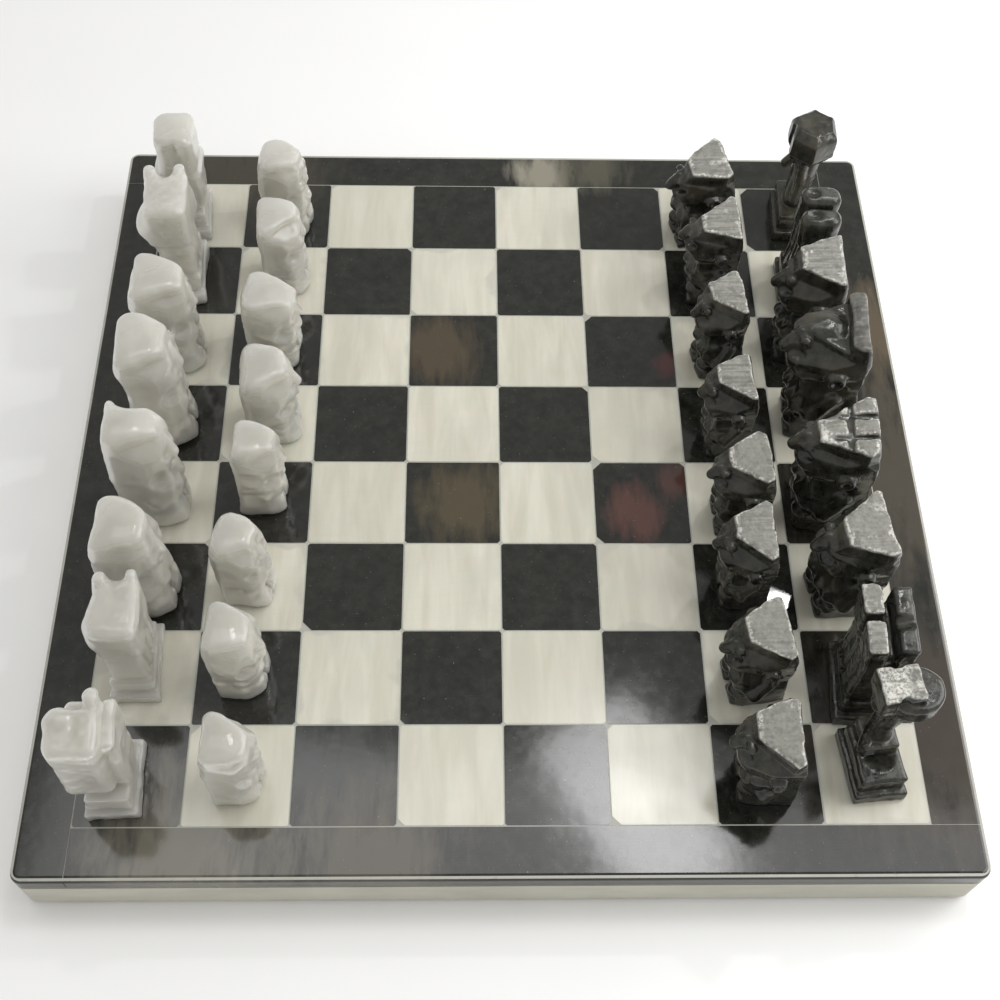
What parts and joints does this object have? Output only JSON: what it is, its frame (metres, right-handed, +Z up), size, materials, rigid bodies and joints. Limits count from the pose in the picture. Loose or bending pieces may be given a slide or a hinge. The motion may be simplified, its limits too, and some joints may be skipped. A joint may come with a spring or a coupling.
{
  "type": "chess set with board",
  "caption": "Inlaid stone chess board with a cast base and a pinwheel border, with carved light and dark stone chess pieces standing ready to play.",
  "frame": {"origin": "centre of the board's underside, on the table", "axes": "+Z up from the underside, +X from the light pieces' side towards the dark pieces' side, +Y away from the edge that a viewer beside the game stands at"},
  "size_m": [0.343, 0.343, 0.0955],
  "materials": {
    "felt": "thin glued felt, dull",
    "cast_slab": "cast stone-dust slab, fine matt grain",
    "resin": "grey filling resin, satin",
    "dark_stone_polished": "black and brown onyx, polished, faint veins and scratches",
    "light_stone_polished": "banded cream onyx, polished, pearly clouding and fine cracks",
    "dark_stone_carved": "dark onyx, waxed flanks, pale sawn tops",
    "light_stone_carved": "milky translucent white onyx, tumbled smooth, waxed"
  },
  "bodies": {
    "board": {"backing_slab": "cast_slab", "border_back": "dark_stone_polished", "border_front": "dark_stone_polished", "border_left": "dark_stone_polished", "border_right": "dark_stone_polished", "dark_tiles_rank_1": "dark_stone_polished", "dark_tiles_rank_2": "dark_stone_polished", "dark_tiles_rank_3": "dark_stone_polished", "dark_tiles_rank_4": "dark_stone_polished", "dark_tiles_rank_5": "dark_stone_polished", "dark_tiles_rank_6": "dark_stone_polished", "dark_tiles_rank_7": "dark_stone_polished", "dark_tiles_rank_8": "dark_stone_polished", "felt_base": "felt", "light_tiles_rank_1": "light_stone_polished", "light_tiles_rank_2": "light_stone_polished", "light_tiles_rank_3": "light_stone_polished", "light_tiles_rank_4": "light_stone_polished", "light_tiles_rank_5": "light_stone_polished", "light_tiles_rank_6": "light_stone_polished", "light_tiles_rank_7": "light_stone_polished", "light_tiles_rank_8": "light_stone_polished", "resin_bed": "resin"},
    "dark_bishop_1": {"dark_bishop_1": "dark_stone_carved"},
    "dark_bishop_2": {"dark_bishop_2": "dark_stone_carved"},
    "dark_king": {"dark_king": "dark_stone_carved"},
    "dark_knight_1": {"dark_knight_1": "dark_stone_carved"},
    "dark_knight_2": {"dark_knight_2": "dark_stone_carved"},
    "dark_pawn_1": {"dark_pawn_1": "dark_stone_carved"},
    "dark_pawn_2": {"dark_pawn_2": "dark_stone_carved"},
    "dark_pawn_3": {"dark_pawn_3": "dark_stone_carved"},
    "dark_pawn_4": {"dark_pawn_4": "dark_stone_carved"},
    "dark_pawn_5": {"dark_pawn_5": "dark_stone_carved"},
    "dark_pawn_6": {"dark_pawn_6": "dark_stone_carved"},
    "dark_pawn_7": {"dark_pawn_7": "dark_stone_carved"},
    "dark_pawn_8": {"dark_pawn_8": "dark_stone_carved"},
    "dark_queen": {"dark_queen": "dark_stone_carved"},
    "dark_rook_1": {"dark_rook_1": "dark_stone_carved"},
    "dark_rook_2": {"dark_rook_2": "dark_stone_carved"},
    "light_bishop_1": {"light_bishop_1": "light_stone_carved"},
    "light_bishop_2": {"light_bishop_2": "light_stone_carved"},
    "light_king": {"light_king": "light_stone_carved"},
    "light_knight_1": {"light_knight_1": "light_stone_carved"},
    "light_knight_2": {"light_knight_2": "light_stone_carved"},
    "light_pawn_1": {"light_pawn_1": "light_stone_carved"},
    "light_pawn_2": {"light_pawn_2": "light_stone_carved"},
    "light_pawn_3": {"light_pawn_3": "light_stone_carved"},
    "light_pawn_4": {"light_pawn_4": "light_stone_carved"},
    "light_pawn_5": {"light_pawn_5": "light_stone_carved"},
    "light_pawn_6": {"light_pawn_6": "light_stone_carved"},
    "light_pawn_7": {"light_pawn_7": "light_stone_carved"},
    "light_pawn_8": {"light_pawn_8": "light_stone_carved"},
    "light_queen": {"light_queen": "light_stone_carved"},
    "light_rook_1": {"light_rook_1": "light_stone_carved"},
    "light_rook_2": {"light_rook_2": "light_stone_carved"}
  },
  "joints": [
    {"name": "dark_bishop_1_lift", "type": "slide", "parent": "board", "child": "dark_bishop_1", "axis": [0, 0, 1], "range_m": [0, 0.1]},
    {"name": "dark_bishop_2_lift", "type": "slide", "parent": "board", "child": "dark_bishop_2", "axis": [0, 0, 1], "range_m": [0, 0.1]},
    {"name": "dark_king_lift", "type": "slide", "parent": "board", "child": "dark_king", "axis": [0, 0, 1], "range_m": [0, 0.1]},
    {"name": "dark_knight_1_lift", "type": "slide", "parent": "board", "child": "dark_knight_1", "axis": [0, 0, 1], "range_m": [0, 0.1]},
    {"name": "dark_knight_2_lift", "type": "slide", "parent": "board", "child": "dark_knight_2", "axis": [0, 0, 1], "range_m": [0, 0.1]},
    {"name": "dark_pawn_1_lift", "type": "slide", "parent": "board", "child": "dark_pawn_1", "axis": [0, 0, 1], "range_m": [0, 0.1]},
    {"name": "dark_pawn_2_lift", "type": "slide", "parent": "board", "child": "dark_pawn_2", "axis": [0, 0, 1], "range_m": [0, 0.1]},
    {"name": "dark_pawn_3_lift", "type": "slide", "parent": "board", "child": "dark_pawn_3", "axis": [0, 0, 1], "range_m": [0, 0.1]},
    {"name": "dark_pawn_4_lift", "type": "slide", "parent": "board", "child": "dark_pawn_4", "axis": [0, 0, 1], "range_m": [0, 0.1]},
    {"name": "dark_pawn_5_lift", "type": "slide", "parent": "board", "child": "dark_pawn_5", "axis": [0, 0, 1], "range_m": [0, 0.1]},
    {"name": "dark_pawn_6_lift", "type": "slide", "parent": "board", "child": "dark_pawn_6", "axis": [0, 0, 1], "range_m": [0, 0.1]},
    {"name": "dark_pawn_7_lift", "type": "slide", "parent": "board", "child": "dark_pawn_7", "axis": [0, 0, 1], "range_m": [0, 0.1]},
    {"name": "dark_pawn_8_lift", "type": "slide", "parent": "board", "child": "dark_pawn_8", "axis": [0, 0, 1], "range_m": [0, 0.1]},
    {"name": "dark_queen_lift", "type": "slide", "parent": "board", "child": "dark_queen", "axis": [0, 0, 1], "range_m": [0, 0.1]},
    {"name": "dark_rook_1_lift", "type": "slide", "parent": "board", "child": "dark_rook_1", "axis": [0, 0, 1], "range_m": [0, 0.1]},
    {"name": "dark_rook_2_lift", "type": "slide", "parent": "board", "child": "dark_rook_2", "axis": [0, 0, 1], "range_m": [0, 0.1]},
    {"name": "light_bishop_1_lift", "type": "slide", "parent": "board", "child": "light_bishop_1", "axis": [0, 0, 1], "range_m": [0, 0.1]},
    {"name": "light_bishop_2_lift", "type": "slide", "parent": "board", "child": "light_bishop_2", "axis": [0, 0, 1], "range_m": [0, 0.1]},
    {"name": "light_king_lift", "type": "slide", "parent": "board", "child": "light_king", "axis": [0, 0, 1], "range_m": [0, 0.1]},
    {"name": "light_knight_1_lift", "type": "slide", "parent": "board", "child": "light_knight_1", "axis": [0, 0, 1], "range_m": [0, 0.1]},
    {"name": "light_knight_2_lift", "type": "slide", "parent": "board", "child": "light_knight_2", "axis": [0, 0, 1], "range_m": [0, 0.1]},
    {"name": "light_pawn_1_lift", "type": "slide", "parent": "board", "child": "light_pawn_1", "axis": [0, 0, 1], "range_m": [0, 0.1]},
    {"name": "light_pawn_2_lift", "type": "slide", "parent": "board", "child": "light_pawn_2", "axis": [0, 0, 1], "range_m": [0, 0.1]},
    {"name": "light_pawn_3_lift", "type": "slide", "parent": "board", "child": "light_pawn_3", "axis": [0, 0, 1], "range_m": [0, 0.1]},
    {"name": "light_pawn_4_lift", "type": "slide", "parent": "board", "child": "light_pawn_4", "axis": [0, 0, 1], "range_m": [0, 0.1]},
    {"name": "light_pawn_5_lift", "type": "slide", "parent": "board", "child": "light_pawn_5", "axis": [0, 0, 1], "range_m": [0, 0.1]},
    {"name": "light_pawn_6_lift", "type": "slide", "parent": "board", "child": "light_pawn_6", "axis": [0, 0, 1], "range_m": [0, 0.1]},
    {"name": "light_pawn_7_lift", "type": "slide", "parent": "board", "child": "light_pawn_7", "axis": [0, 0, 1], "range_m": [0, 0.1]},
    {"name": "light_pawn_8_lift", "type": "slide", "parent": "board", "child": "light_pawn_8", "axis": [0, 0, 1], "range_m": [0, 0.1]},
    {"name": "light_queen_lift", "type": "slide", "parent": "board", "child": "light_queen", "axis": [0, 0, 1], "range_m": [0, 0.1]},
    {"name": "light_rook_1_lift", "type": "slide", "parent": "board", "child": "light_rook_1", "axis": [0, 0, 1], "range_m": [0, 0.1]},
    {"name": "light_rook_2_lift", "type": "slide", "parent": "board", "child": "light_rook_2", "axis": [0, 0, 1], "range_m": [0, 0.1]}
  ]
}
